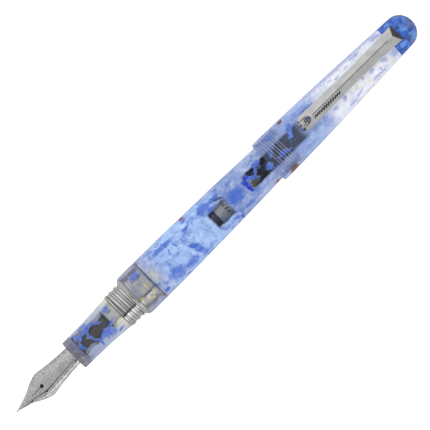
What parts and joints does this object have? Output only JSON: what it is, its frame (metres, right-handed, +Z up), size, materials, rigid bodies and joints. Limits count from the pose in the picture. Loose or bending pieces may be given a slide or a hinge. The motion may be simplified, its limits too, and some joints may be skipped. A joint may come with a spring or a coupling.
{
  "type": "fountain pen",
  "caption": "Posted fountain pen in marbled blue resin: open steel nib, clear grip, threaded steel ring, converter inside a tapered barrel, and a cap with a sprung roller clip.",
  "frame": {"origin": "under the middle of the pen's length, on the surface it lies on", "axes": "+X along the pen from the nib to the cap's dome, +Z up through the clip and the nib's face, +Y across the pen"},
  "size_m": [0.162, 0.014, 0.0171],
  "materials": {
    "marbled_resin": "polished",
    "deep_resin": "polished",
    "clear_resin": "polished, clear with veins",
    "steel": "polished",
    "nib_steel": "polished and engraved",
    "black_plating": "polished black plating",
    "black_plastic": "satin",
    "clear_plastic": "clear",
    "liner_plastic": "satin",
    "rubber": "matt"
  },
  "bodies": {
    "barrel": {"barrel": "marbled_resin", "barrel_insert": "steel"},
    "converter": {"converter_mouth": "black_plastic", "converter_tube": "clear_plastic", "converter_sleeve": "steel"},
    "section": {"nib": "nib_steel", "nib_tipping": "nib_steel", "feed": "black_plastic", "nib_collar": "black_plating", "grip": "clear_resin", "thread_ring": "steel"},
    "knob": {"converter_knob": "black_plastic"},
    "piston": {"piston_head": "black_plastic", "piston_seal": "rubber", "piston_rod": "black_plastic"},
    "cap": {"cap_tube": "marbled_resin", "inner_cap": "liner_plastic", "cap_washer": "steel", "finial_screw": "steel", "cap_finial": "deep_resin"},
    "clip": {"clip": "steel", "roller_pin": "steel"},
    "roller": {"clip_roller": "steel"}
  },
  "joints": [
    {"name": "section_advance", "type": "slide", "parent": "barrel", "child": "converter", "axis": [-1, 0, 0], "range_m": [0, 0.006]},
    {"name": "section_turn", "type": "hinge", "parent": "converter", "child": "section", "pos_m": [-0.03, 0, 0.00704], "axis": [-1, 0, 0], "range_deg": [0, 1440]},
    {"name": "knob_turn", "type": "hinge", "parent": "converter", "child": "knob", "pos_m": [0.025, 0, 0.00704], "axis": [1, 0, 0], "range_deg": [0, 1056]},
    {"name": "piston_slide", "type": "slide", "parent": "converter", "child": "piston", "axis": [-1, 0, 0], "range_m": [0, 0.022]},
    {"name": "cap_pull", "type": "slide", "parent": "barrel", "child": "cap", "axis": [1, 0, 0], "range_m": [0, 0.03]},
    {"name": "clip_flex", "type": "hinge", "parent": "cap", "child": "clip", "pos_m": [0.07, 0, 0.01194], "axis": [0, 1, 0], "range_deg": [0, 4], "stiffness_Nm_per_rad": 1.2},
    {"name": "roller_spin", "type": "hinge", "parent": "clip", "child": "roller", "pos_m": [0.0371, 0, 0.01554], "axis": [0, 1, 0], "continuous": true}
  ],
  "couplings": [
    {"joint": "section_turn", "follows": "section_advance", "rad_per_m": 4188.8},
    {"joint": "knob_turn", "follows": "piston_slide", "rad_per_m": 837.75}
  ]
}
